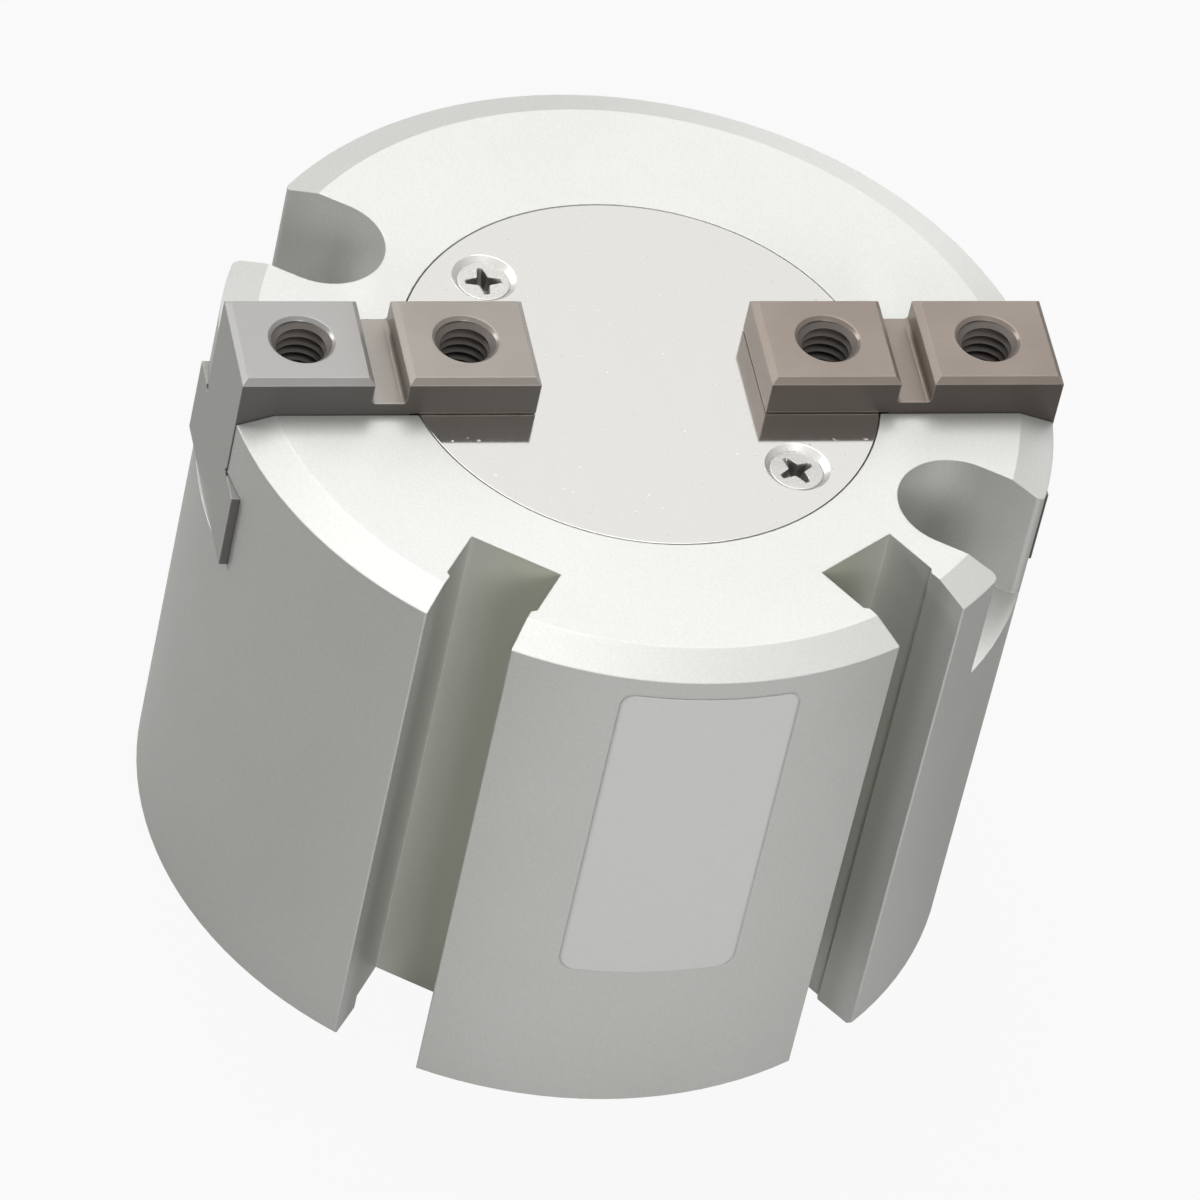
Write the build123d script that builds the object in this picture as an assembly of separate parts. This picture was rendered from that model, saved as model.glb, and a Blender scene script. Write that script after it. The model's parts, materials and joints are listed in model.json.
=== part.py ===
from build123d import *
import math
import os

# Round-body parallel pneumatic gripper with two opposed fingers.
# Millimetres, +Z up, origin at the centre of the mounting face, fingers along X.
# The model stands with the fingers closed and the piston at the bottom of its stroke.

# Fits shared by all pieces
slide_clearance = 0.05
seat_clearance = 0.05
seal_clearance = 0.03

# Body envelope
body_diameter = 56.0
body_height = 41.0
top_bevel_width = 2.4
top_bevel_drop = 0.85
base_chamfer = 0.4

# Cylinder, from the mounting face upwards
bore_diameter = 32.0
centring_diameter = 34.0
centring_depth = 2.0
ring_land = 0.8
ring_thickness = 1.2
ring_reach = 1.2
ring_width = 2.0
ring_gap_angle = 44.0
ring_lug_radius = 2.1
ring_lug_hole_radius = 0.8
cap_thickness = 4.0
cap_dish_radius = 10.0
cap_dish_depth = 1.4
partition_thickness = 5.0
bumper_inner_radius = 7.0
bumper_outer_radius = 10.5
bumper_seat_depth = 0.5
lower_bumper_proud = 0.8
upper_bumper_proud = 0.55
stop_gap = 0.15

# Piston and rod
piston_thickness = 7.8
piston_top_land = 1.6
piston_seal_height = 2.4
piston_wear_height = 1.3
piston_land = 0.7
piston_magnet_height = 1.9
piston_seal_depth = 2.6
piston_wear_depth = 1.0
piston_magnet_depth = 2.2
piston_edge_chamfer = 0.5
rod_diameter = 10.0
rod_spigot = 1.0
rod_seal_height = 2.2
rod_seal_depth = 2.2
o_ring_section = 1.5
bolt_diameter = 5.0
bolt_head_diameter = 8.5
bolt_head_height = 5.0
bolt_hex_across_flats = 4.0
bolt_hex_depth = 2.5
bolt_seal_thickness = 0.6
bolt_engagement = 5.0
bolt_thread_allowance = 0.5

# Wedge mechanism
finger_stroke = 4.0
wedge_angle = 45.0
cam_diameter = 22.0
cam_flat_width = 13.0
cam_top_half_width = 5.5
cam_floor_gap = 0.25
cavity_clearance = 0.3
groove_neck_width = 3.4
groove_neck_depth = 1.4
groove_head_width = 7.0
groove_head_depth = 1.7
hook_centre_gap = 0.4

# Fingers and their guide
finger_width = 8.0
finger_length = 20.0
finger_outer_reach = 27.8
finger_rise = 3.0
finger_chamfer = 0.4
finger_float = 0.1
finger_hole_pitch = 11.0
finger_thread_diameter = 4.0
finger_thread_mouth = 4.5
finger_thread_depth = 8.0
finger_notch_width = 2.3
finger_notch_depth = 2.0
finger_notch_fillet = 0.25
guide_neck_depth = 5.2
guide_flange_width = 13.0
guide_flange_height = 6.0
guide_relief_radius = 0.3

# End plate and its screws
plate_diameter = 32.2
plate_gap = 0.1
plate_thickness = 1.2
plate_slot_reach = 8.6
plate_slot_width = 6.4
plate_slot_clearance = 0.15
plate_slot_corner = 0.6
plate_screw_circle = 25.5
plate_screw_angle = -45.0
countersink_diameter = 4.4
screw_head_diameter = 3.7
screw_diameter = 2.0
screw_length = 6.0
screw_cross_span = 2.3
screw_cross_width = 0.5
screw_cross_depth = 0.7

# Side grooves for position sensors
sensor_angle_from_front = 33.7
sensor_groove_floor_radius = 20.5
sensor_groove_width = 6.4
sensor_lip_radius = 24.4
sensor_lip_width = 5.8
sensor_mouth_width = 6.0
sensor_mouth_break = 0.25

# Mounting holes and notches for bolt heads
mount_circle = 46.0
mount_angle = -33.0
mount_notch_width = 8.2
mount_notch_depth = 9.5
mount_notch_corner = 0.5
mount_hole_diameter = 4.3
mount_thread_diameter = 5.0
mount_thread_depth = 9.0
dowel_diameter = 3.0
dowel_depth = 4.0
dowel_circle = 46.0
dowel_angle = -90.0

# Air ports on the back
port_thread_diameter = 5.0
port_thread_depth = 5.5
port_passage_diameter = 1.6
port_angle = 90.0
port_height_above_cap = 1.4
port_depth_below_top = 1.25

# Heights worked out from the sizes above
body_radius = body_diameter / 2
bore_radius = bore_diameter / 2
rod_radius = rod_diameter / 2
piston_stroke = finger_stroke / math.tan(math.radians(wedge_angle))
ring_base = centring_depth + ring_land
ring_top = ring_base + ring_thickness + seat_clearance
cap_base = ring_top
cap_top = cap_base + cap_thickness
piston_base = cap_top + lower_bumper_proud + stop_gap
piston_top = piston_base + piston_thickness
bore_top = piston_top + upper_bumper_proud + stop_gap + piston_stroke
cavity_floor = bore_top + partition_thickness
cam_base = cavity_floor + cam_floor_gap
plate_base = body_height - plate_thickness
cam_top = plate_base - 4 * slide_clearance - piston_stroke
finger_top = body_height + finger_rise
flange_top = body_height - guide_neck_depth
flange_base = flange_top - guide_flange_height
notch_floor = body_height - mount_notch_depth
piston_radius = bore_radius - slide_clearance
cavity_radius = cam_diameter / 2 + cavity_clearance
port_low = cap_top + port_height_above_cap
port_high = bore_top - port_depth_below_top
overshoot = 1.0


def turned(*corners):
    """Solid of revolution about Z from (radius, height) corners."""
    return revolve(make_face(Plane.XZ * Polyline(*corners, close=True)), Axis.Z)


def drilled(diameter, low, high):
    """Upright round bar on the Z axis between two heights."""
    return Pos(0, 0, low) * Cylinder(
        diameter / 2, high - low, align=(Align.CENTER, Align.CENTER, Align.MIN)
    )


def about_z(angle, radius, piece):
    """The piece set out to a radius and turned about Z."""
    return Rot(0, 0, angle) * Pos(radius, 0, 0) * piece


def band(inner, outer, low, high):
    """Plain ring about Z."""
    return turned((inner, low), (outer, low), (outer, high), (inner, high))


def body_blank():
    """Turned blank with a shallow bevel round the finger face."""
    return turned(
        (0, 0),
        (body_radius - base_chamfer, 0),
        (body_radius, base_chamfer),
        (body_radius, body_height - top_bevel_drop),
        (body_radius - top_bevel_width, body_height),
        (0, body_height),
    )


def body_bores():
    """Everything bored on the axis: recess, ring groove, cylinder, rod hole, cavity and plate seat."""
    ring_groove = bore_radius + ring_reach
    rod_hole = rod_radius + slide_clearance
    seal_groove = rod_radius + rod_seal_depth
    seal_base = bore_top + (partition_thickness - rod_seal_height) / 2
    seal_top = seal_base + rod_seal_height
    plate_seat = plate_diameter / 2 + plate_gap
    return turned(
        (0, -overshoot),
        (centring_diameter / 2, -overshoot),
        (centring_diameter / 2, centring_depth),
        (bore_radius, centring_depth),
        (bore_radius, ring_base),
        (ring_groove, ring_base),
        (ring_groove, ring_top),
        (bore_radius, ring_top),
        (bore_radius, bore_top),
        (rod_hole, bore_top),
        (rod_hole, seal_base),
        (seal_groove, seal_base),
        (seal_groove, seal_top),
        (rod_hole, seal_top),
        (rod_hole, cavity_floor),
        (cavity_radius, cavity_floor),
        (cavity_radius, plate_base),
        (plate_seat, plate_base),
        (plate_seat, body_height + overshoot),
        (0, body_height + overshoot),
    )


def guide_slot():
    """T-slot right across the body, in which both fingers slide."""
    neck = finger_width / 2 + slide_clearance
    flange = guide_flange_width / 2 + slide_clearance
    low = flange_base - slide_clearance
    high = flange_top + slide_clearance
    open_top = body_height + overshoot
    profile = Polyline(
        (-flange, low),
        (flange, low),
        (flange, high),
        (neck, high),
        (neck, open_top),
        (-neck, open_top),
        (-neck, high),
        (-flange, high),
        close=True,
    )
    return extrude(make_face(Plane.YZ * profile), body_diameter / 2 + overshoot, both=True)


def sensor_groove():
    """Lipped groove for a position sensor, along the whole side, drawn on the X axis."""
    floor = sensor_groove_floor_radius
    wide = sensor_groove_width / 2
    lip = sensor_lip_width / 2
    mouth = sensor_mouth_width / 2
    step = wide - lip
    rim = body_radius - sensor_mouth_break
    flare = mouth + sensor_mouth_break + overshoot
    half = [
        (floor, wide),
        (sensor_lip_radius, wide),
        (sensor_lip_radius + step, lip),
        (rim, mouth),
        (rim + sensor_mouth_break + overshoot, flare),
    ]
    other = [(x, -y) for x, y in reversed(half)]
    profile = Polyline(*half, *other, close=True)
    length = body_height + 2 * overshoot
    return Pos(0, 0, -overshoot) * extrude(make_face(profile), length, dir=(0, 0, 1))


def mount_cut():
    """Notch for a bolt head, clearance hole and base thread, drawn on the X axis."""
    radius = mount_circle / 2
    height = body_height - notch_floor + overshoot
    reach = body_radius - radius + overshoot
    low = (Align.MIN, Align.CENTER, Align.MIN)
    notch = drilled(mount_notch_width, notch_floor, notch_floor + height)
    notch += Pos(0, 0, notch_floor) * Box(reach, mount_notch_width, height, align=low)
    hole = drilled(mount_hole_diameter, 0, notch_floor + overshoot)
    thread = drilled(mount_thread_diameter, -overshoot, mount_thread_depth)
    return Pos(radius, 0, 0) * (notch + hole + thread)


def port_cut(height):
    """Threaded air port and the passage from it into the cylinder."""
    lay = Rot(0, 0, port_angle) * Pos(0, 0, height) * Rot(0, 90, 0)
    mouth = body_radius + overshoot
    thread = drilled(port_thread_diameter, body_radius - port_thread_depth, mouth)
    passage = drilled(port_passage_diameter, bore_radius - overshoot, mouth)
    return lay * (thread + passage)


def notch_corner_edges(body):
    """Upright edges where the bolt-head notches break out of the round side."""
    found = []
    for edge in body.edges().filter_by(Axis.Z):
        middle = edge.center()
        on_side = abs(math.hypot(middle.X, middle.Y) - body_radius) < 0.01
        angle = math.degrees(math.atan2(middle.Y, middle.X))
        spread = math.degrees(math.asin(mount_notch_width / body_diameter))
        for centre in (mount_angle, mount_angle + 180):
            away = abs((angle - centre + 180) % 360 - 180)
            if on_side and abs(away - spread) < 1 and middle.Z > notch_floor:
                found.append(edge)
    return found


def gripper_body():
    """Aluminium body with every bore, slot, groove and hole."""
    body = body_blank() - body_bores() - guide_slot()
    for side in (-1, 1):
        body -= Rot(0, 0, -90 + side * sensor_angle_from_front) * sensor_groove()
    for half_turn in (0, 180):
        body -= Rot(0, 0, mount_angle + half_turn) * mount_cut()
        screw_hole = drilled(
            screw_diameter + 2 * seat_clearance, plate_base - screw_length, plate_base
        )
        body -= about_z(plate_screw_angle + half_turn, plate_screw_circle / 2, screw_hole)
    for height in (port_low, port_high):
        body -= port_cut(height)
    body -= about_z(dowel_angle, dowel_circle / 2, drilled(dowel_diameter, -overshoot, dowel_depth))
    return fillet(notch_corner_edges(body), mount_notch_corner)


def retaining_ring():
    """Internal C-ring with two lugs for ring pliers, sprung into its groove under the cap."""
    outer = bore_radius + ring_reach - seat_clearance
    inner = outer - ring_width
    lug_radius = inner - ring_lug_radius / 3
    lug_angle = ring_gap_angle / 2
    top = ring_base + ring_thickness
    wedge = Polyline(
        (0, 0),
        (2 * outer, 2 * outer * math.tan(math.radians(lug_angle))),
        (2 * outer, -2 * outer * math.tan(math.radians(lug_angle))),
        close=True,
    )
    gap = Pos(0, 0, ring_base) * extrude(make_face(wedge), ring_thickness, dir=(0, 0, 1))
    ring = band(inner, outer, ring_base, top) - gap
    for side in (-1, 1):
        lug = drilled(2 * ring_lug_radius, ring_base, top)
        ring += about_z(side * lug_angle, lug_radius, lug)
    for side in (-1, 1):
        eye = drilled(2 * ring_lug_hole_radius, ring_base - overshoot, top + overshoot)
        ring -= about_z(side * lug_angle, lug_radius, eye)
    return ring


def cylinder_cap():
    """Plug that closes the cylinder, with an O-ring groove and a bumper seat."""
    radius = bore_radius - slide_clearance
    groove_height = o_ring_section + 2 * seat_clearance
    groove_base = cap_base + (cap_thickness - groove_height) / 2
    groove_radius = bore_radius - o_ring_section - 2 * seal_clearance
    cap = turned((0, cap_base), (radius, cap_base), (radius, cap_top), (0, cap_top))
    cap -= band(groove_radius, bore_radius, groove_base, groove_base + groove_height)
    cap -= drilled(2 * cap_dish_radius, cap_base - overshoot, cap_base + cap_dish_depth)
    cap -= bumper_seat(cap_top - bumper_seat_depth, cap_top + overshoot)
    return cap


def cap_o_ring():
    """O-ring that seals the cap in the bore."""
    centre = bore_radius - seal_clearance - o_ring_section / 2
    return Pos(0, 0, cap_base + cap_thickness / 2) * Torus(centre, o_ring_section / 2)


def bumper_seat(low, high):
    """Ring-shaped seat for a bumper, a little wider than the bumper itself."""
    inner = bumper_inner_radius - seat_clearance
    outer = bumper_outer_radius + seat_clearance
    return band(inner, outer, low, high)


def lower_bumper():
    """Rubber ring on the cap that stops the piston as the fingers close."""
    low = cap_top - bumper_seat_depth
    return band(bumper_inner_radius, bumper_outer_radius, low, cap_top + lower_bumper_proud)


def upper_bumper():
    """Rubber ring on the piston that stops it as the fingers open."""
    low = piston_top - bumper_seat_depth
    return band(bumper_inner_radius, bumper_outer_radius, low, piston_top + upper_bumper_proud)


def rod_seal():
    """Lip seal round the rod, open towards the pressure side."""
    base = bore_top + (partition_thickness - rod_seal_height) / 2 + seat_clearance
    top = base + rod_seal_height - 2 * seat_clearance
    inner = rod_radius + seal_clearance
    outer = rod_radius + rod_seal_depth - seal_clearance
    middle = (inner + outer) / 2
    lip = (outer - inner) / 5
    return turned(
        (inner, base),
        (inner + lip, base),
        (middle, base + rod_seal_height / 2),
        (outer - lip, base),
        (outer, base),
        (outer, top),
        (inner, top),
    )


def piston_bands():
    """Heights of the seal, wear ring and magnet grooves, from the piston's top down."""
    seal_top = piston_top - piston_top_land
    wear_top = seal_top - piston_seal_height - piston_land
    magnet_top = wear_top - piston_wear_height - piston_land
    return {
        "seal": (seal_top - piston_seal_height, seal_top, piston_seal_depth),
        "wear": (wear_top - piston_wear_height, wear_top, piston_wear_depth),
        "magnet": (magnet_top - piston_magnet_height, magnet_top, piston_magnet_depth),
    }


def piston():
    """Aluminium piston with its rod in one piece, bored for the cam bolt."""
    radius = bore_radius - 3 * slide_clearance
    edge = piston_edge_chamfer
    rod_top = cam_base + rod_spigot - seat_clearance
    blank = turned(
        (0, piston_base),
        (radius - edge, piston_base),
        (radius, piston_base + edge),
        (radius, piston_top - 2 * edge),
        (radius - 2 * edge, piston_top),
        (rod_radius, piston_top),
        (rod_radius, rod_top),
        (0, rod_top),
    )
    for low, high, depth in piston_bands().values():
        blank -= band(bore_radius - depth, bore_radius + overshoot, low, high)
    head_seat = piston_base + bolt_head_height + bolt_seal_thickness
    blank -= drilled(bolt_head_diameter + 4 * seat_clearance, piston_base - overshoot, head_seat)
    blank -= drilled(bolt_diameter + 4 * seat_clearance, piston_base, rod_top + overshoot)
    blank -= bumper_seat(piston_top - bumper_seat_depth, piston_top + overshoot)
    return blank


def piston_seal():
    """Double-lip seal in the piston's upper groove."""
    low, high, depth = piston_bands()["seal"]
    inner = bore_radius - depth + seal_clearance
    outer = bore_radius - seal_clearance
    low += seat_clearance
    high -= seat_clearance
    waist = (high - low) / 4
    return turned(
        (inner, low),
        (outer, low),
        (outer, low + waist),
        (outer - waist, (low + high) / 2),
        (outer, high - waist),
        (outer, high),
        (inner, high),
    )


def wear_ring():
    """Split guide ring that carries the piston in the bore."""
    low, high, depth = piston_bands()["wear"]
    inner = bore_radius - depth + seal_clearance
    outer = bore_radius - seal_clearance
    split = Pos(outer, 0, low) * Box(
        4 * depth, depth, 2 * piston_wear_height, align=(Align.CENTER, Align.CENTER, Align.CENTER)
    )
    return band(inner, outer, low + seat_clearance, high - seat_clearance) - split


def magnet_ring():
    """Rubber magnet that the position sensors read through the body's wall."""
    low, high, depth = piston_bands()["magnet"]
    inner = bore_radius - depth + seal_clearance
    outer = bore_radius - 4 * slide_clearance
    return band(inner, outer, low + seat_clearance, high - seat_clearance)


def bolt_seal():
    """Sealing washer under the head of the cam bolt."""
    high = piston_base + bolt_head_height + bolt_seal_thickness
    inner = bolt_diameter / 2 + seat_clearance
    return band(inner, bolt_head_diameter / 2, high - bolt_seal_thickness, high)


def cam_bolt():
    """Socket-head bolt that holds the cam on the rod, put in from under the piston."""
    head_base = piston_base
    shank_base = head_base + bolt_head_height
    tip = cam_base + rod_spigot + bolt_engagement - bolt_thread_allowance
    bolt = drilled(bolt_head_diameter, head_base, shank_base)
    bolt = chamfer(bolt.edges().group_by(Axis.Z)[0], bolt_thread_allowance)
    bolt += drilled(bolt_diameter, shank_base, tip)
    hex_face = RegularPolygon(bolt_hex_across_flats / 2, 6, major_radius=False)
    socket = extrude(hex_face, bolt_hex_depth, dir=(0, 0, 1))
    return bolt - Pos(0, 0, head_base) * socket


def wedge_frame(offset):
    """Work plane that lies on the cam's flank, with X across the gripper and Z out of the cam.

    The offset moves it out of the cam along its own normal.
    """
    angle = math.radians(wedge_angle)
    normal = (math.cos(angle), 0, math.sin(angle))
    origin = Vector(cam_top_half_width, 0, cam_top) + Vector(*normal) * offset
    return Plane(origin=origin, x_dir=(0, 1, 0), z_dir=normal)


def wedge_half_space(offset, outwards):
    """Large block on one side of the flank plane."""
    size = body_diameter
    align = Align.MIN if outwards else Align.MAX
    return wedge_frame(offset) * Box(size, 2 * size, size, align=(Align.CENTER, Align.CENTER, align))


def wedge_tee(clearance, lift):
    """T-shaped bar sunk into the flank: the cam's groove, or the finger's hook when it is smaller."""
    length = 2 * body_diameter
    neck_width = groove_neck_width - 2 * clearance
    head_width = groove_head_width - 2 * clearance
    head_top = -groove_neck_depth - clearance
    head_base = -groove_neck_depth - groove_head_depth + clearance
    centred = (Align.CENTER, Align.CENTER, Align.MIN)
    neck = Pos(0, 0, head_top) * Box(neck_width, length, lift - head_top, align=centred)
    head = Pos(0, 0, head_base) * Box(head_width, length, head_top - head_base, align=centred)
    return wedge_frame(0) * (neck + head)


def wedge_cam():
    """Steel wedge on the rod: its two sloping T-grooves drive the fingers."""
    cam = drilled(cam_diameter, cam_base, cam_top)
    cam &= Box(cam_diameter, cam_flat_width, 3 * body_height)
    for turn in (0, 180):
        cam -= Rot(0, 0, turn) * wedge_half_space(0, True)
        cam -= Rot(0, 0, turn) * wedge_tee(0, overshoot)
    cam -= drilled(rod_diameter + 2 * seat_clearance, cam_base - overshoot, cam_base + rod_spigot)
    hole_top = cam_base + rod_spigot + bolt_engagement
    cam -= drilled(bolt_diameter + 2 * seat_clearance, cam_base, hole_top)
    return cam


def finger_block(length, low, high):
    """One raised pad of a finger, broken along all its upper edges."""
    block = Pos(0, 0, low) * Box(
        length, finger_width, high - low, align=(Align.CENTER, Align.CENTER, Align.MIN)
    )
    return chamfer(block.edges().group_by(Axis.Z)[-1], finger_chamfer)


def finger_top_part():
    """The part of the finger above the body: two pads with a cross notch between them."""
    middle = finger_outer_reach - finger_length / 2
    low = body_height + finger_float
    pad_length = (finger_length - finger_notch_width) / 2
    pad_offset = (finger_length - pad_length) / 2
    notch_floor_height = finger_top - finger_notch_depth
    base = Pos(middle, 0, low) * Box(
        finger_length, finger_width, notch_floor_height - low, align=(Align.CENTER, Align.CENTER, Align.MIN)
    )
    for side in (-1, 1):
        pad = finger_block(pad_length, notch_floor_height, finger_top)
        base += Pos(middle + side * pad_offset, 0, 0) * pad
    floor_edges = [
        edge
        for edge in base.edges().filter_by(Axis.Y)
        if abs(edge.center().Z - notch_floor_height) < 0.01
        and abs(edge.center().X - middle) < finger_notch_width
    ]
    return fillet(floor_edges, finger_notch_fillet)


def finger_guide_part():
    """The part of the finger inside the body: neck, flange and sloping inner face."""
    low = flange_base
    high = flange_top
    under_plate = plate_base - 2 * slide_clearance
    neck_inner = plate_diameter / 2 + 2 * plate_gap
    shank_inner = plate_slot_reach + plate_slot_clearance
    shank_width = plate_slot_width - 2 * plate_slot_clearance
    from_outer = (Align.MAX, Align.CENTER, Align.MIN)
    flange = Pos(finger_outer_reach, 0, low) * Box(
        finger_outer_reach, guide_flange_width, high - low, align=from_outer
    )
    web = Pos(finger_outer_reach, 0, high) * Box(
        finger_outer_reach, finger_width, under_plate - high, align=from_outer
    )
    neck = Pos(finger_outer_reach, 0, under_plate) * Box(
        finger_outer_reach - neck_inner,
        finger_width,
        body_height + finger_float - under_plate,
        align=from_outer,
    )
    shank = Pos(finger_outer_reach, 0, under_plate) * Box(
        finger_outer_reach - shank_inner,
        shank_width,
        body_height + finger_float - under_plate,
        align=from_outer,
    )
    shank_corners = shank.edges().filter_by(Axis.Z).group_by(Axis.X)[0]
    shank = fillet(shank_corners, plate_slot_corner - plate_slot_clearance)
    part = flange + web
    for side in (-1, 1):
        relief = Rot(0, 90, 0) * Cylinder(guide_relief_radius, 3 * body_diameter)
        part -= Pos(0, side * finger_width / 2, high) * relief
    part &= wedge_half_space(slide_clearance, True)
    hook_box = Pos(hook_centre_gap, 0, low) * Box(
        body_radius, groove_head_width, under_plate - low, align=(Align.MIN, Align.CENTER, Align.MIN)
    )
    hook = wedge_tee(slide_clearance, 2 * slide_clearance) & hook_box
    return part + hook + neck + shank


def finger():
    """Right-hand finger in one piece, with two threaded holes down its pads."""
    part = finger_guide_part() + finger_top_part()
    middle = finger_outer_reach - finger_length / 2
    mouth_drop = (finger_thread_mouth - finger_thread_diameter) / 2
    for side in (-1, 1):
        hole = drilled(finger_thread_diameter, finger_top - finger_thread_depth, finger_top + overshoot)
        mouth = turned(
            (0, finger_top - mouth_drop - finger_thread_diameter / 2),
            (finger_thread_mouth / 2 + overshoot, finger_top + overshoot),
            (0, finger_top + overshoot),
        )
        part -= Pos(middle + side * finger_hole_pitch / 2, 0, 0) * (hole + mouth)
    return part


def end_plate():
    """Thin stainless disc over the mechanism, slotted for the finger necks."""
    radius = plate_diameter / 2
    plate = drilled(plate_diameter, plate_base, body_height)
    slot = Pos(plate_slot_reach, 0, plate_base - overshoot) * Box(
        radius, plate_slot_width, 3 * plate_thickness, align=(Align.MIN, Align.CENTER, Align.MIN)
    )
    corners = slot.edges().filter_by(Axis.Z).group_by(Axis.X)[0]
    slot = fillet(corners, plate_slot_corner)
    mouth = countersink_diameter / 2
    countersink = turned(
        (0, body_height - mouth),
        (mouth + overshoot, body_height + overshoot),
        (0, body_height + overshoot),
    )
    screw_hole = drilled(screw_diameter + 2 * seat_clearance, plate_base - overshoot, body_height)
    for turn in (0, 180):
        plate -= Rot(0, 0, turn) * slot
        plate -= about_z(plate_screw_angle + turn, plate_screw_circle / 2, countersink + screw_hole)
    return plate


def plate_screw():
    """Cross-recess countersunk screw, drawn on the Z axis."""
    head = screw_head_diameter / 2
    shank = screw_diameter / 2
    top = body_height - (countersink_diameter / 2 - head - seal_clearance)
    screw = turned(
        (0, plate_base - screw_length + 2 * seat_clearance),
        (shank, plate_base - screw_length + 2 * seat_clearance),
        (shank, top - (head - shank)),
        (head, top),
        (0, top),
    )
    arms = Box(screw_cross_span, screw_cross_width, screw_cross_depth)
    arms += Box(screw_cross_width, screw_cross_span, screw_cross_depth)
    return screw - Pos(0, 0, top - screw_cross_depth / 2) * arms


def all_parts():
    """Every piece by its name, in place."""
    screw = plate_screw()
    right = finger()
    return {
        "gripper_body": gripper_body(),
        "end_plate": end_plate(),
        "end_plate_screw_1": about_z(plate_screw_angle, plate_screw_circle / 2, screw),
        "end_plate_screw_2": about_z(plate_screw_angle + 180, plate_screw_circle / 2, screw),
        "cylinder_cap": cylinder_cap(),
        "cap_o_ring": cap_o_ring(),
        "retaining_ring": retaining_ring(),
        "lower_bumper": lower_bumper(),
        "rod_seal": rod_seal(),
        "piston": piston(),
        "piston_seal": piston_seal(),
        "wear_ring": wear_ring(),
        "magnet_ring": magnet_ring(),
        "upper_bumper": upper_bumper(),
        "cam_bolt": cam_bolt(),
        "bolt_seal": bolt_seal(),
        "wedge_cam": wedge_cam(),
        "finger_right": right,
        "finger_left": Rot(0, 0, 180) * right,
    }


os.makedirs("parts", exist_ok=True)
for name, shape in all_parts().items():
    export_step(shape, f"parts/{name}.step")
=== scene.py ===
# %% [markdown]
# A parallel gripper, dressed for its portrait
#
# The solids of this gripper arrive finished: every bore, slot and wedge is at its real size. What
# they lack is what the eye looks for. Aluminium is blasted and anodised, the fingers are ground
# steel, the screws have a pressed cross, and a tapped hole has a helix in it. This lesson adds
# those, one at a time.

import json
import math

import bpy
import numpy as np
from mathutils import Matrix, Vector


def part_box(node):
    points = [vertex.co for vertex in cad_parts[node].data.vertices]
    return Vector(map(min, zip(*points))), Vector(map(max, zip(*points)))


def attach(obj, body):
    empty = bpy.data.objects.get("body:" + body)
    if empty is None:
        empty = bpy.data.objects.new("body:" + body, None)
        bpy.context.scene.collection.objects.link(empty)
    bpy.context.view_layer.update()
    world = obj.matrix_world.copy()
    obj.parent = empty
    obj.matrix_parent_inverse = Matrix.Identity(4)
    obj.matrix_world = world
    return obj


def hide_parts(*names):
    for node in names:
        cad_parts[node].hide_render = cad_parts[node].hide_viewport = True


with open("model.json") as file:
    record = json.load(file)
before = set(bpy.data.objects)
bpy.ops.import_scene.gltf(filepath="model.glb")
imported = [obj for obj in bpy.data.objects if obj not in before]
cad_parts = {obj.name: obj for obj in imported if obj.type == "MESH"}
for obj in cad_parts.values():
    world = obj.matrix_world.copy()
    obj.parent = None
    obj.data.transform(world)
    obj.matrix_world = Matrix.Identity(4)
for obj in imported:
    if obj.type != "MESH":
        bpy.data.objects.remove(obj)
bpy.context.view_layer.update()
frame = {"nodes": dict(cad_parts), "record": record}
MM = 0.001
mounts = {mount["name"]: mount for mount in frame["record"]["mounts"]}
body_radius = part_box("gripper_body")[1].x
plate_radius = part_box("end_plate")[1].x
print("solids:", len(frame["nodes"]), "body radius in mm:", round(body_radius / MM, 2))

# %% [markdown]
# The camera comes first, because every later choice is judged through it. The photograph was taken
# with a long lens, so parallel edges stay nearly parallel. The lens and the camera's three
# directions are written as measured. A camera looks along its own -Z, so the third direction is
# turned round.

# %% The camera
camera_place = Vector((-0.163940, -0.464164, 0.489015))
camera_right = Vector((0.97015932, -0.17602607, 0.16675045))
camera_down = Vector((-0.00769000, -0.70971217, -0.70444978))
camera_forward = Vector((0.24234635, 0.68214621, -0.68988752))
camera_data = bpy.data.cameras.new("camera")
camera_data.sensor_width = 36.0
camera_data.lens = 302.31
camera_data.clip_start = 0.05
camera_data.clip_end = 20.0
camera = bpy.data.objects.new("camera", camera_data)
turn = Matrix((camera_right, -camera_down, -camera_forward)).transposed()
camera.matrix_world = Matrix.Translation(camera_place) @ turn.to_4x4()
bpy.context.scene.collection.objects.link(camera)
bpy.context.scene.camera = camera
bpy.context.scene.view_settings.view_transform = "Standard"
print("camera distance in mm:", round(camera_place.length / MM))

# %% [markdown]
# A material is a small program, and it reads best as arithmetic. The first class below wraps one
# number of a material, so that a sum or a product of two such numbers adds its own Math node. The
# second adds every other kind of node, and keeps the patterns that several materials share.


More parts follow.
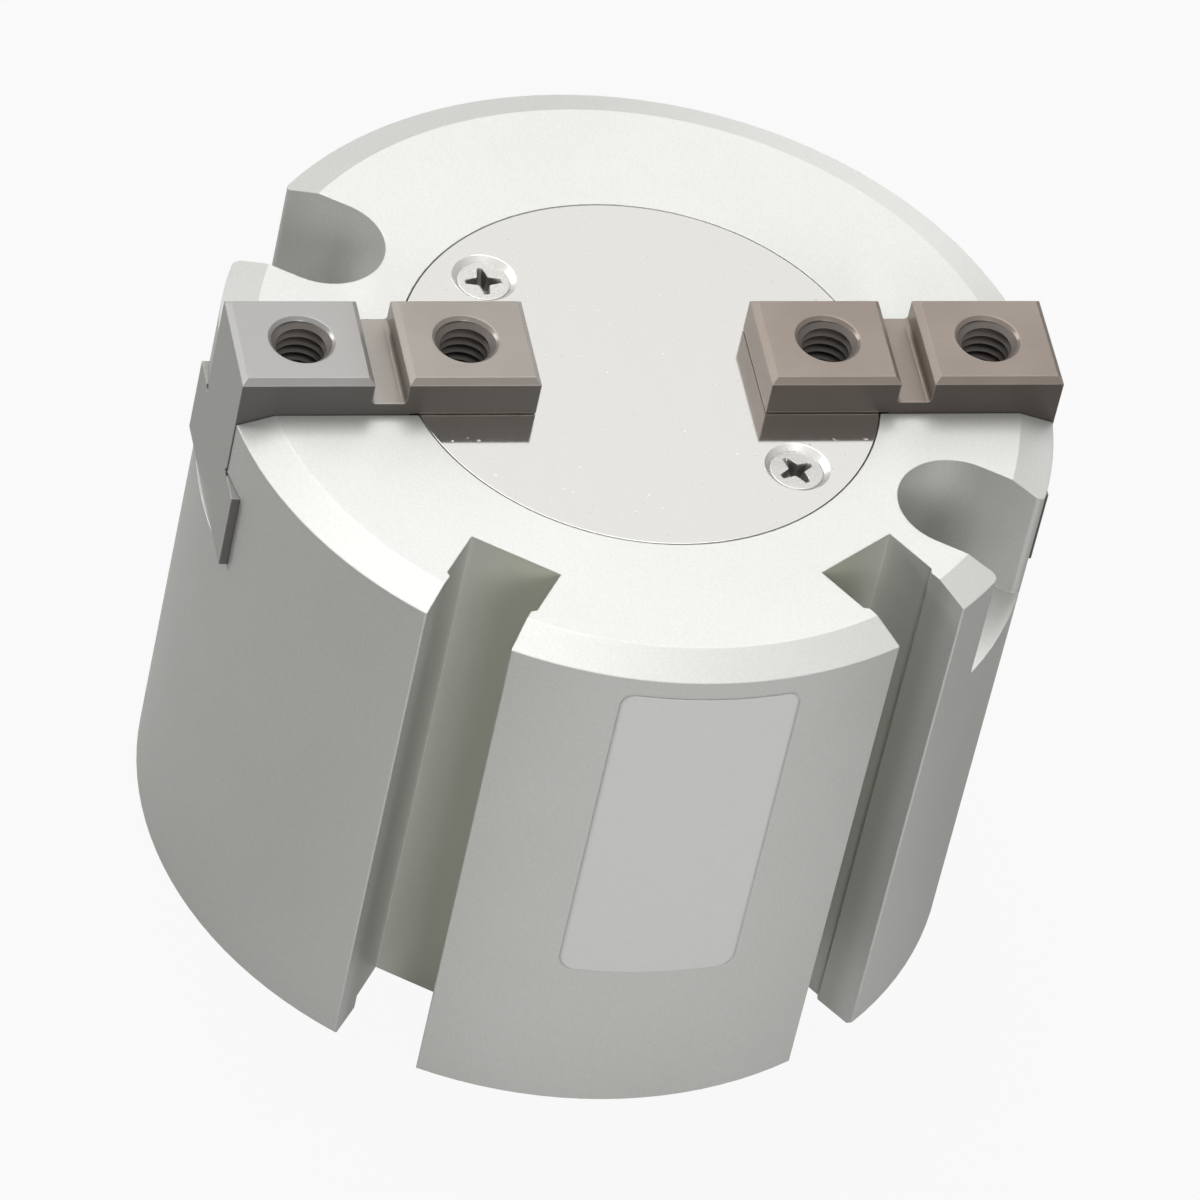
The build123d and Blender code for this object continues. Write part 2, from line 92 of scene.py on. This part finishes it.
# %% Shader arithmetic
class Number:
    """One number socket of a material. Python's operators on it add Math nodes."""

    def __init__(self, maker, socket):
        self.maker = maker
        self.socket = socket

    def _with(self, operation, *values):
        node = self.maker.add("ShaderNodeMath", {"operation": operation}, dict(enumerate(values)))
        return Number(self.maker, node.outputs[0])

    def __add__(self, other):
        return self._with("ADD", self, other)

    def __sub__(self, other):
        return self._with("SUBTRACT", self, other)

    def __rsub__(self, other):
        return self._with("SUBTRACT", other, self)

    def __mul__(self, other):
        return self._with("MULTIPLY", self, other)

    __radd__ = __add__
    __rmul__ = __mul__

    def between(self, low, high):
        """0 below low, 1 above high, and a smooth rise from one to the other."""
        settings = {"interpolation_type": "SMOOTHSTEP"}
        values = {0: self, 1: low, 2: high, 3: 0.0, 4: 1.0}
        return Number(self.maker, self.maker.add("ShaderNodeMapRange", settings, values).outputs[0])


class Maker:
    """Builds the nodes of one material, or of the world."""

    def __init__(self, name, kind="materials"):
        self.owner = getattr(bpy.data, kind).new(name)
        self.owner.use_nodes = True
        self.tree = self.owner.node_tree
        self.tree.nodes.clear()
        self.place = self.add("ShaderNodeTexCoord", {}, {}).outputs["Object"]
        self.facing = self.add("ShaderNodeNewGeometry", {}, {}).outputs["Normal"]

    def add(self, kind, settings, values):
        """Adds a node of that kind, sets it up, then gives its inputs a value or a link."""
        node = self.tree.nodes.new(kind)
        for key, value in settings.items():
            setattr(node, key, value)
        for key, value in values.items():
            if isinstance(value, Number):
                value = value.socket
            if isinstance(value, bpy.types.NodeSocket):
                self.tree.links.new(value, node.inputs[key])
            else:
                node.inputs[key].default_value = value
        return node

    def vector_math(self, operation, *values):
        """A Vector Math node on those vectors."""
        return self.add("ShaderNodeVectorMath", {"operation": operation}, dict(enumerate(values)))

    def part(self, vector, axis):
        """The X, Y or Z of a vector."""
        return Number(self, self.add("ShaderNodeSeparateXYZ", {}, {0: vector}).outputs[axis])

    def length(self, vector, weights, start=(0.0, 0.0, 0.0)):
        """The length of a vector from start, each of its parts first multiplied by its weight."""
        moved = self.vector_math("SUBTRACT", vector, start).outputs[0]
        weighted = self.vector_math("MULTIPLY", moved, weights).outputs[0]
        return Number(self, self.vector_math("LENGTH", weighted).outputs["Value"])

    def noise(self, size, detail=2.0, stretch=(1.0, 1.0, 1.0)):
        """A cloudy pattern whose blots are about that size in metres, drawn out by stretch."""
        values = {"Vector": self.place, "Scale": stretch}
        scaled = self.add("ShaderNodeMapping", {}, values).outputs[0]
        values = {"Vector": scaled, "Scale": 1.0 / size, "Detail": detail}
        return Number(self, self.add("ShaderNodeTexNoise", {}, values).outputs[0])

    def rounded(self, radius):
        """The normal that edges would have if they were rounded by that radius."""
        return self.add("ShaderNodeBevel", {"samples": 6}, {"Radius": radius}).outputs[0]

    def wear_and_highlight_edges(self, reach):
        """1 on sharp edges, where a rounded normal leans from the true one, and 0 elsewhere."""
        lean = self.vector_math("DOT_PRODUCT", self.rounded(reach), self.facing).outputs["Value"]
        return 1 - Number(self, lean).between(0.90, 0.995)

    def blend(self, factor, first, second):
        """A colour that goes from first to second as factor goes from 0 to 1."""
        values = {0: factor, 6: first, 7: second}
        return self.add("ShaderNodeMix", {"data_type": "RGBA"}, values).outputs[2]

    def rays(self):
        """1 for a ray from the camera, for a glossy one, and for one that has passed through."""
        path = self.add("ShaderNodeLightPath", {}, {})
        kinds = ("Is Camera Ray", "Is Glossy Ray", "Is Transmission Ray")
        return [Number(self, path.outputs[kind]) for kind in kinds]

    def surface(self, tint, metallic, rough, height, depth, edge):
        """Ends the material: a bump of that depth in metres over edges rounded by that radius."""
        values = {"Height": height, "Distance": depth, "Normal": self.rounded(edge)}
        bump = self.add("ShaderNodeBump", {}, values).outputs[0]
        values = {"Base Color": tint, "Metallic": metallic, "Roughness": rough, "Normal": bump}
        shader = self.add("ShaderNodeBsdfPrincipled", {}, values)
        self.add("ShaderNodeOutputMaterial", {}, {"Surface": shader.outputs[0]})
        return self.owner


# %% [markdown]
# The body is aluminium, blasted and then clear anodised. Blasting leaves fine pits that scatter
# light, so the metal looks half matt: bright where it faces the lamps and a soft grey down its
# sides. A purely metallic shader would mirror the floor there, so the metal is mixed with plenty of
# plain scatter. The slots are painted darker, as shade in their recesses, with darker walls and a
# lighter olive floor. The material finds them by asking how far a point is from the axis and how far
# forward, and leaves out what is level. The sharp edges are painted a little brighter, partly as
# rubbed wear and partly as a painted highlight, and a fine dark line along the edge of the disc's
# seat is partly old oil and partly painted shade in the seam.


# %% Blasted and anodised aluminium
def anodised(name, pale, deep, wall, floor, rubbed_and_highlit, oil_and_seam_shade):
    """Skin from pale to deep, slots in painted shade, edges of wear and painted highlight, and an
    oily seam with painted shade.
    """
    make = Maker(name)
    cloud = make.noise(14 * MM)
    grain = make.noise(0.16 * MM)
    tone = cloud.between(0.2, 0.8) * 0.35 + grain.between(0.3, 0.7) * 0.55
    from_axis = make.length(make.place, (1.0, 1.0, 0.0))

    # The forward slots, less their level faces, are painted darker as shade in the recesses: darker
    # walls, a lighter olive floor.
    inside = 1 - from_axis.between(body_radius - 2.4 * MM, body_radius - 0.6 * MM)
    level = make.length(make.facing, (0.0, 0.0, 1.0)).between(0.1, 0.4)
    forward = (make.part(make.place, "Y") * -1.0).between(14 * MM, 18 * MM)
    slot_floor = body_radius - 7.1 * MM
    slot = make.blend(from_axis.between(slot_floor, slot_floor + 0.6 * MM), floor, wall)
    tint = make.blend(inside * (1 - level) * forward, make.blend(tone, pale, deep), slot)

    seat_radius = plate_radius + 0.1 * MM
    beyond_seat = from_axis.between(seat_radius + 0.8 * MM, seat_radius + 1.8 * MM)
    # The sharp outer edges are painted brighter: partly rubbed wear, partly a painted highlight.
    tint = make.blend(make.wear_and_highlight_edges(0.10 * MM) * beyond_seat * 0.6, tint, rubbed_and_highlit)
    # A fine dark line along the disc's seat is partly old oil and partly painted shade in the seam.
    seam = 1 - from_axis.between(seat_radius + 0.03 * MM, seat_radius + 0.13 * MM)
    near_top = make.part(make.place, "Z").between(38.5 * MM, 39.5 * MM)
    tint = make.blend(seam * near_top * 0.85, tint, oil_and_seam_shade)
    rough = grain * 0.10 + 0.37
    return make.surface(
        tint, metallic=0.3, rough=rough, height=grain, depth=0.006 * MM, edge=0.12 * MM
    )


# The slot wall and floor colours are painted shade; the edge colour is wear with a painted
# highlight; the seam colour is old oil with painted shade.
body_finish = anodised(
    "anodised_aluminium",
    pale=(0.64, 0.642, 0.620, 1),
    deep=(0.575, 0.58, 0.550, 1),
    wall=(0.47, 0.475, 0.44, 1),
    floor=(0.58, 0.59, 0.49, 1),
    rubbed_and_highlit=(0.80, 0.80, 0.79, 1),
    oil_and_seam_shade=(0.10, 0.10, 0.095, 1),
)

# %% [markdown]
# The disc is cut from bright rolled sheet. It is close to a mirror, which is why the photograph
# shows the fingers upside down in it, with a scatter of tiny pits and the faint pull of the
# rollers. Only its face is bright: the rim, the slots and the countersinks are cut, and duller.


# %% Bright rolled sheet
def rolled_sheet(name, bright, pitted):
    make = Maker(name)
    pull = make.noise(0.5 * MM, stretch=(1.0, 0.06, 1.0))
    speck = make.noise(0.35 * MM, detail=1.0).between(0.70, 0.78)
    cut = 1 - make.length(make.facing, (0.0, 0.0, 1.0)).between(0.85, 0.98)
    tint = make.blend(speck, bright, pitted)
    rough = pull * 0.05 + speck * 0.15 + cut * 0.30 + 0.06
    return make.surface(
        tint, metallic=1.0, rough=rough, height=pull - speck, depth=0.0015 * MM, edge=0.05 * MM
    )


plate_finish = rolled_sheet("bright_sheet", (0.82, 0.805, 0.775, 1), (0.62, 0.60, 0.57, 1))

# %% [markdown]
# The fingers are hardened, then ground. Grinding leaves scratches in one direction, and hardening
# leaves a warm brown-grey colour that differs a little from one finger to the next. The sharp edges
# are painted brighter, partly bright from grinding and partly a painted highlight. The long flanks
# that face front and back are painted much darker as shade, and the outer pad of the left finger is
# rubbed back to a plain silver grey, palest on its end.


# %% Ground and hardened steel
# The flank colour is painted shade, and the edge colour is partly wear and partly a painted
# highlight.
painted_flank_shade = (0.03, 0.026, 0.023, 1)
bright_edge = (0.56, 0.53, 0.49, 1)
silver_pad = (0.315, 0.31, 0.30, 1)
pale_end = (0.46, 0.455, 0.435, 1)


def ground_steel(name, light, dark, rubbed_pad=False, edge=0.13 * MM):
    make = Maker(name)
    scratch = make.noise(0.22 * MM, 3.0, stretch=(0.05, 1.0, 1.0))
    cloud = make.noise(5 * MM)
    tint = make.blend(cloud.between(0.3, 0.75) * 0.6 + scratch * 0.4, light, dark)
    if rubbed_pad:
        outer = make.length(make.place, (1.0, 0.0, 0.0)).between(17 * MM, 21 * MM)
        end = make.length(make.facing, (1.0, 0.0, 0.0)).between(0.9, 0.98)
        tint = make.blend(outer, tint, make.blend(end, silver_pad, pale_end))
    # The flanks that face front and back are painted much darker as shade.
    flank = make.length(make.facing, (0.0, 1.0, 0.0)).between(0.75, 0.95)
    tint = make.blend(flank * 0.75, tint, painted_flank_shade)
    # The sharp edges are painted brighter: partly bright from grinding, partly a painted highlight.
    tint = make.blend(make.wear_and_highlight_edges(edge) * 0.5, tint, bright_edge)
    rough = scratch * 0.16 + 0.26
    return make.surface(
        tint, metallic=0.3, rough=rough, height=scratch, depth=0.003 * MM, edge=edge
    )


right_finish = ground_steel(
    "ground_steel_brown", (0.262, 0.216, 0.184, 1), (0.215, 0.174, 0.146, 1)
)
left_finish = ground_steel(
    "ground_steel_grey", (0.285, 0.259, 0.230, 1), (0.240, 0.217, 0.192, 1), rubbed_pad=True
)
tapped_finish = ground_steel(
    "tapped_steel", (0.15, 0.13, 0.115, 1), (0.11, 0.095, 0.085, 1), edge=0.02 * MM
)
cam_finish = ground_steel("cam_steel", (0.34, 0.33, 0.32, 1), (0.27, 0.26, 0.25, 1))

# %% [markdown]
# The remaining pieces are inside or underneath. They are still finished, because the gripper is
# looked at from below and can be taken apart: turned aluminium, black spring steel, moulded rubber
# and a plastic strip each need only a grain at the right scale and the right gloss.


# %% Finishes for the inner pieces
def fine_grained(name, light, dark, metallic, roughness, grain_size, depth, edge):
    """Grain size, depth and edge are in metres, and roughness is the middle of its range."""
    make = Maker(name)
    grain = make.noise(grain_size, 3.0)
    tint = make.blend(grain.between(0.3, 0.7), light, dark)
    spread = 0.12
    rough = grain * spread + (roughness - spread / 2)
    return make.surface(tint, metallic, rough, height=grain, depth=depth, edge=edge)


# Lighter and darker colour, grain size, depth and edge in mm, metallic, roughness.
recipes = {
    "turned_aluminium": ((0.66, 0.66, 0.67), (0.56, 0.56, 0.57), 0.3, 0.004, 0.08, 0.7, 0.32),
    "phosphated_steel": ((0.075, 0.072, 0.068), (0.045, 0.043, 0.04), 0.12, 0.004, 0.08, 0.6, 0.48),
    "nitrile_rubber": ((0.030, 0.030, 0.031), (0.020, 0.020, 0.020), 0.2, 0.006, 0.08, 0.0, 0.55),
    "urethane_rubber": ((0.16, 0.085, 0.045), (0.12, 0.060, 0.030), 0.25, 0.005, 0.08, 0.0, 0.42),
    "bonded_magnet": ((0.10, 0.095, 0.09), (0.07, 0.066, 0.062), 0.1, 0.005, 0.08, 0.2, 0.6),
    "acetal_strip": ((0.56, 0.50, 0.40), (0.50, 0.44, 0.34), 0.4, 0.003, 0.08, 0.0, 0.45),
    "nickel_plate": ((0.42, 0.415, 0.40), (0.35, 0.345, 0.33), 0.15, 0.002, 0.06, 1.0, 0.42),
}
plain = {}
for name, (light, dark, grain_mm, depth_mm, edge_mm, metallic, roughness) in recipes.items():
    sizes = {"grain_size": grain_mm * MM, "depth": depth_mm * MM, "edge": edge_mm * MM}
    plain[name] = fine_grained(name, (*light, 1), (*dark, 1), metallic, roughness, **sizes)

# %% [markdown]
# Each solid keeps its shape and only gets its finish. The table says which piece wears which.

# %% Give every solid its finish
finish_of = {
    "gripper_body": body_finish,
    "end_plate": plate_finish,
    "end_plate_screw_1": plain["nickel_plate"],
    "end_plate_screw_2": plain["nickel_plate"],
    "finger_right": right_finish,
    "finger_left": left_finish,
    "wedge_cam": cam_finish,
    "piston": plain["turned_aluminium"],
    "cylinder_cap": plain["turned_aluminium"],
    "retaining_ring": plain["phosphated_steel"],
    "cam_bolt": plain["phosphated_steel"],
    "piston_seal": plain["nitrile_rubber"],
    "rod_seal": plain["nitrile_rubber"],
    "cap_o_ring": plain["nitrile_rubber"],
    "bolt_seal": plain["nitrile_rubber"],
    "upper_bumper": plain["urethane_rubber"],
    "lower_bumper": plain["urethane_rubber"],
    "magnet_ring": plain["bonded_magnet"],
    "wear_ring": plain["acetal_strip"],
}
for node_name, finish in finish_of.items():
    slots = frame["nodes"][node_name].data.materials
    slots.clear()
    slots.append(finish)
print("finished solids:", len(finish_of))

# %% [markdown]
# New pieces are grids: a shape is a formula for x, y and z over rows and columns, and one helper
# turns the arrays into a mesh. A row can close on itself, and the first and last rows can be capped.


# %% From arrays to a mesh
def grid_piece(name, points, finish, body, around=True, capped=True):
    """A mesh from points[row, column, xyz]. Around joins the last column to the first, and capped
    closes the first and last rows with one face each."""
    rows, columns, _ = points.shape
    index = np.arange(rows * columns).reshape(rows, columns)
    following = np.roll(index, -1, axis=1) if around else index[:, 1:]
    present = index if around else index[:, :-1]
    quads = np.stack([present[:-1], following[:-1], following[1:], present[1:]], axis=-1)
    faces = quads.reshape(-1, 4).tolist()
    if capped:
        faces += [index[0, ::-1].tolist(), index[-1].tolist()]
    mesh = bpy.data.meshes.new(name)
    mesh.from_pydata(points.reshape(-1, 3), [], faces)
    mesh.polygons.foreach_set("use_smooth", np.ones(len(faces), bool))
    mesh.set_sharp_from_angle(angle=math.radians(35))
    mesh.materials.append(finish)
    mesh.update()
    piece = bpy.data.objects.new(name, mesh)
    bpy.context.scene.collection.objects.link(piece)
    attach(piece, body)
    return piece


# %% [markdown]
# A tapped hole shows a helix. A real thread is a V-shaped ridge that winds down the wall, so it is
# made as one: a four-cornered profile carried along a helix. The ridge's back lies a hair inside
# the wall. The ridge grows out of it over the first quarter turn and sinks back over the last.


# %% Thread ridges
def thread(name, mouth, outward, major, minor, pitch, depth, lead, finish, body, slot):
    """A ridge along a helix. At angle a it lies lead + pitch * a / 2 pi below the mouth, and its
    crest stands at the minor radius. Grow is nearly 0 at both ends and 1 in between."""
    steps_per_turn, quarter_turn = 72, math.pi / 2
    axis = Vector(outward).normalized()
    side = axis.cross(Vector((1, 0, 0))) * -1.0
    across = axis.cross(side)
    turns = (depth - lead) / pitch
    angle = np.linspace(0.0, 2 * math.pi * turns, int(turns * steps_per_turn) + 1)
    grow = np.clip(np.minimum(angle, angle[-1] - angle) / quarter_turn, 0.03, 1.0)
    back = np.full_like(angle, major + 0.03 * MM)
    crest = back - (back - minor) * grow
    radius = np.stack([back, crest, crest, back], axis=1)
    foot, flat = 0.46 * pitch, 0.06 * pitch
    offset = np.array([-foot, -flat, flat, foot])
    drop = lead + pitch * angle[:, None] / (2 * math.pi) + offset * grow[:, None]
    ring = np.cos(angle)[:, None] * np.array(side) + np.sin(angle)[:, None] * np.array(across)
    points = np.array(mouth) + radius[..., None] * ring[:, None] - drop[..., None] * np.array(axis)
    return grid_piece(name, points, finish, body)


M4 = {"major": 2.0 * MM, "minor": 1.62 * MM, "pitch": 0.7 * MM}
M5 = {"major": 2.5 * MM, "minor": 2.08 * MM, "pitch": 0.8 * MM}
in_steel = {"finish": tapped_finish, "slot": "finger_steel"}
in_body = {"finish": body_finish, "slot": "body_aluminium", "body": "housing"}
up, down, rearward = (0, 0, 1), (0, 0, -1), (0, 1, 0)
for side in ("right", "left"):
    mount = mounts[f"finger_{side}_threads"]
    half_pitch = mount["dims"]["spacing_x_mm"] * MM / 2
    for number, shift in enumerate((-half_pitch, half_pitch), start=1):
        mouth = Vector(mount["pos_m"]) + Vector((shift, 0, 0))
        thread(
            f"finger_{side}_thread_{number}", mouth, up, **M4, depth=7.4 * MM, lead=0.30 * MM,
            body=f"finger_{side}", **in_steel,
        )
for name in ("port_open", "port_close"):
    mouth = Vector((0, body_radius, mounts[name]["pos_m"][2]))
    thread(f"{name}_thread", mouth, rearward, **M5, depth=5.0 * MM, lead=0.9 * MM, **in_body)
for number, name in enumerate(("through_hole_front_right", "through_hole_back_left"), start=1):
    mouth = Vector(mounts[name]["pos_m"]) * Vector((1, 1, 0))
    thread(f"base_thread_{number}", mouth, down, **M5, depth=8.6 * MM, lead=0.6 * MM, **in_body)

# %% [markdown]
# The screws' heads are pressed, not milled. A punch leaves a cross whose arms slope down to the
# middle and whose edges are soft, so the head is a height over rings and angles. The same grid runs
# on down the cone and the shank, which closes the screw.


# %% Countersunk screws with a pressed cross
def cross_depth(x, y):
    """How deep the cross is at x, y from the screw's axis: the deeper of two sloping bars, which
    widen towards the middle and whose walls lean over a short run."""
    arm_length, arm_half, deepest, wall_run = 1.25 * MM, 0.27 * MM, 1.15 * MM, 0.09 * MM
    deep = np.zeros_like(x)
    for along, aside in ((x, y), (y, x)):
        slope = np.clip(1 - np.abs(along) / arm_length, 0, 1)
        wall = np.clip((arm_half * (0.6 + slope) - np.abs(aside)) / wall_run, 0, 1)
        deep = np.maximum(deep, deepest * np.clip(slope * 2.2, 0, 1) * wall)
    return deep


def pressed_screw(name, node_name, tilt):
    """Rings over the head, then down its land, its cone and the shank. The face's last ring is its
    rim, which the cross doesn't reach."""
    low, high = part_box(node_name)
    centre = (low + high) / 2
    head = (high.x - low.x) / 2 - 0.05 * MM
    shank, land, rim_drop = 1.0 * MM, 0.20 * MM, 0.02 * MM
    rim, columns = 33, 144
    face = np.linspace(0.02, 1, rim + 1) * head
    below = [high.z - land, high.z - head + shank, low.z, low.z]
    rings = np.concatenate([face, [head, shank, shank, shank * 0.05]])
    heights = np.concatenate([np.full(rim + 1, high.z), below])
    heights[rim] -= rim_drop
    angle = np.linspace(0, 2 * math.pi, columns, endpoint=False)
    x = rings[:, None] * np.cos(angle)
    y = rings[:, None] * np.sin(angle)
    z = np.repeat(heights[:, None], columns, axis=1)
    turned_x = x * math.cos(tilt) + y * math.sin(tilt)
    turned_y = y * math.cos(tilt) - x * math.sin(tilt)
    z[:rim] -= cross_depth(turned_x[:rim], turned_y[:rim])
    points = np.stack([x + centre.x, y + centre.y, z], axis=-1)[::-1]
    piece = grid_piece(name, points, plain["nickel_plate"], "housing")
    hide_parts(node_name)
    return piece


for number, tilt in ((1, 28), (2, 2)):
    pressed_screw(f"pressed_screw_{number}", f"end_plate_screw_{number}", math.radians(tilt))

# %% [markdown]
# The sticker is thin film with rounded corners, wrapped on the cylinder. It is left bare. Each row
# of the grid is as wide as the rounded outline is at its height, and Solidify gives the film its
# thickness.


# %% The bare sticker
def film_finish(name, light, dark):
    make = Maker(name)
    grain = make.noise(0.6 * MM)
    tint = make.blend(grain, light, dark)
    return make.surface(
        tint, metallic=0.1, rough=0.33, height=grain, depth=0.002 * MM, edge=0.02 * MM
    )


def sticker(low, high, width, corner, thick, centre_angle, finish):
    """A sheet on the cylinder. At height h from its middle, its half width is the straight half
    width less what the corner's circle takes away. Its back lies a hair off the cylinder."""
    half_tall = (high - low) / 2
    height = half_tall * np.sin(np.linspace(-math.pi / 2, math.pi / 2, 60))
    into_corner = np.clip(np.abs(height) - (half_tall - corner), 0, corner)
    half_wide = width / 2 - corner + np.sqrt(corner**2 - into_corner**2)
    share = np.linspace(-1, 1, 40)
    radius = body_radius + 0.01 * MM
    angle = math.radians(centre_angle) + half_wide[:, None] * share[None, :] / radius
    z = np.repeat(((low + high) / 2 + height)[:, None], share.size, axis=1)
    points = np.stack([radius * np.cos(angle), radius * np.sin(angle), z], axis=-1)
    piece = grid_piece(
        "sticker", points, finish, "housing", around=False, capped=False
    )
    solidify = piece.modifiers.new("thickness", "SOLIDIFY")
    solidify.thickness = thick
    solidify.offset = 1.0
    return piece


film = film_finish("sticker_film", (0.80, 0.805, 0.785, 1), (0.765, 0.77, 0.75, 1))
sticker(
    low=13.0 * MM, high=38.7 * MM, width=12.1 * MM, corner=1.0 * MM, thick=0.07 * MM,
    centre_angle=-89.6, finish=film,
)

# %% [markdown]
# A plain pale floor and soft lamps, as in a product photograph. The floor is white to the camera.
# To mirror-like surfaces it is white only in front of the gripper, where a photographer's table is
# best lit, and greyer elsewhere, which gives the round sides their shading. To everything else it
# is an ordinary pale floor, so it still holds a shadow. From below it is clear, so the mounting
# face can be looked at.


# %% Floor, world and lamps
def pale_floor():
    """The camera's white keeps a little of the matt floor, and with it the shadow."""
    white_share, share_outside_pool = 0.93, 0.15
    pool_centre, pool_edge, pool_end = (6 * MM, -70 * MM, 0.0), 30 * MM, 75 * MM
    make = Maker("pale_floor")
    from_pool = make.length(make.place, (1.0, 1.0, 1.0), start=pool_centre)
    pool = 1 - from_pool.between(pool_edge, pool_end)
    camera_ray, glossy_ray, through_ray = make.rays()
    in_mirrors = pool * (1 - share_outside_pool) + share_outside_pool
    seen = camera_ray + glossy_ray * in_mirrors + through_ray
    matt = make.add("ShaderNodeBsdfDiffuse", {}, {"Color": (0.28, 0.28, 0.275, 1)}).outputs[0]
    white = make.add("ShaderNodeEmission", {}, {"Color": (1, 1, 1, 1), "Strength": 1.0}).outputs[0]
    above = make.add("ShaderNodeMixShader", {}, {0: seen * white_share, 1: matt, 2: white})
    from_below = make.add("ShaderNodeNewGeometry", {}, {}).outputs["Backfacing"]
    clear = make.add("ShaderNodeBsdfTransparent", {}, {}).outputs[0]
    sided = make.add("ShaderNodeMixShader", {}, {0: from_below, 1: above.outputs[0], 2: clear})
    make.add("ShaderNodeOutputMaterial", {}, {"Surface": sided.outputs[0]})
    return make.owner


def floor_sheet(half=3.0, low=-0.02 * MM):
    """A square a hair below the mounting face, because in one plane both would show at once."""
    corners = [(-half, -half, low), (half, -half, low), (half, half, low), (-half, half, low)]
    mesh = bpy.data.meshes.new("floor")
    mesh.from_pydata(corners, [], [(0, 1, 2, 3)])
    mesh.materials.append(pale_floor())
    floor = bpy.data.objects.new("floor", mesh)
    bpy.context.scene.collection.objects.link(floor)


def lamp(name, place, size, watts):
    data = bpy.data.lights.new(name, "AREA")
    data.shape = "DISK"
    data.size = size
    data.energy = watts
    holder = bpy.data.objects.new(name, data)
    aim = (-Vector(place)).to_track_quat("-Z", "Y").to_matrix().to_4x4()
    holder.matrix_world = Matrix.Translation(place) @ aim
    bpy.context.scene.collection.objects.link(holder)


def pale_world():
    """A sky that is dim near the horizon and bright above, as under a large softbox. Mirror-like
    surfaces see it paler than it lights, because a studio's pale walls would show in them, and the
    camera sees it white."""
    make = Maker("pale_world", "worlds")
    direction = make.add("ShaderNodeTexCoord", {}, {}).outputs["Generated"]
    rise = make.part(direction, "Z").between(0.36, 0.70)
    camera_ray, glossy_ray, through_ray = make.rays()
    mirrored = glossy_ray + through_ray
    lighting = (rise * 0.51 + 0.03) * (1 - mirrored - camera_ray)
    strength = lighting + (rise * 0.43 + 0.54) * mirrored + camera_ray
    values = {"Color": (1.0, 1.0, 0.995, 1), "Strength": strength}
    sky = make.add("ShaderNodeBackground", {}, values)
    make.add("ShaderNodeOutputWorld", {}, {"Surface": sky.outputs[0]})
    bpy.context.scene.world = make.owner


floor_sheet()
pale_world()
lamp("overhead_softbox", (0.00, 0.35, 0.85), 0.60, 4.35)
lamp("front_fill", (-0.02, -0.85, 0.35), 0.30, 2.9)
lamp("back_rim", (0.45, 0.80, 0.35), 0.40, 1.1)
lamp("left_rim", (-0.80, 0.50, 0.35), 0.30, 3.4)
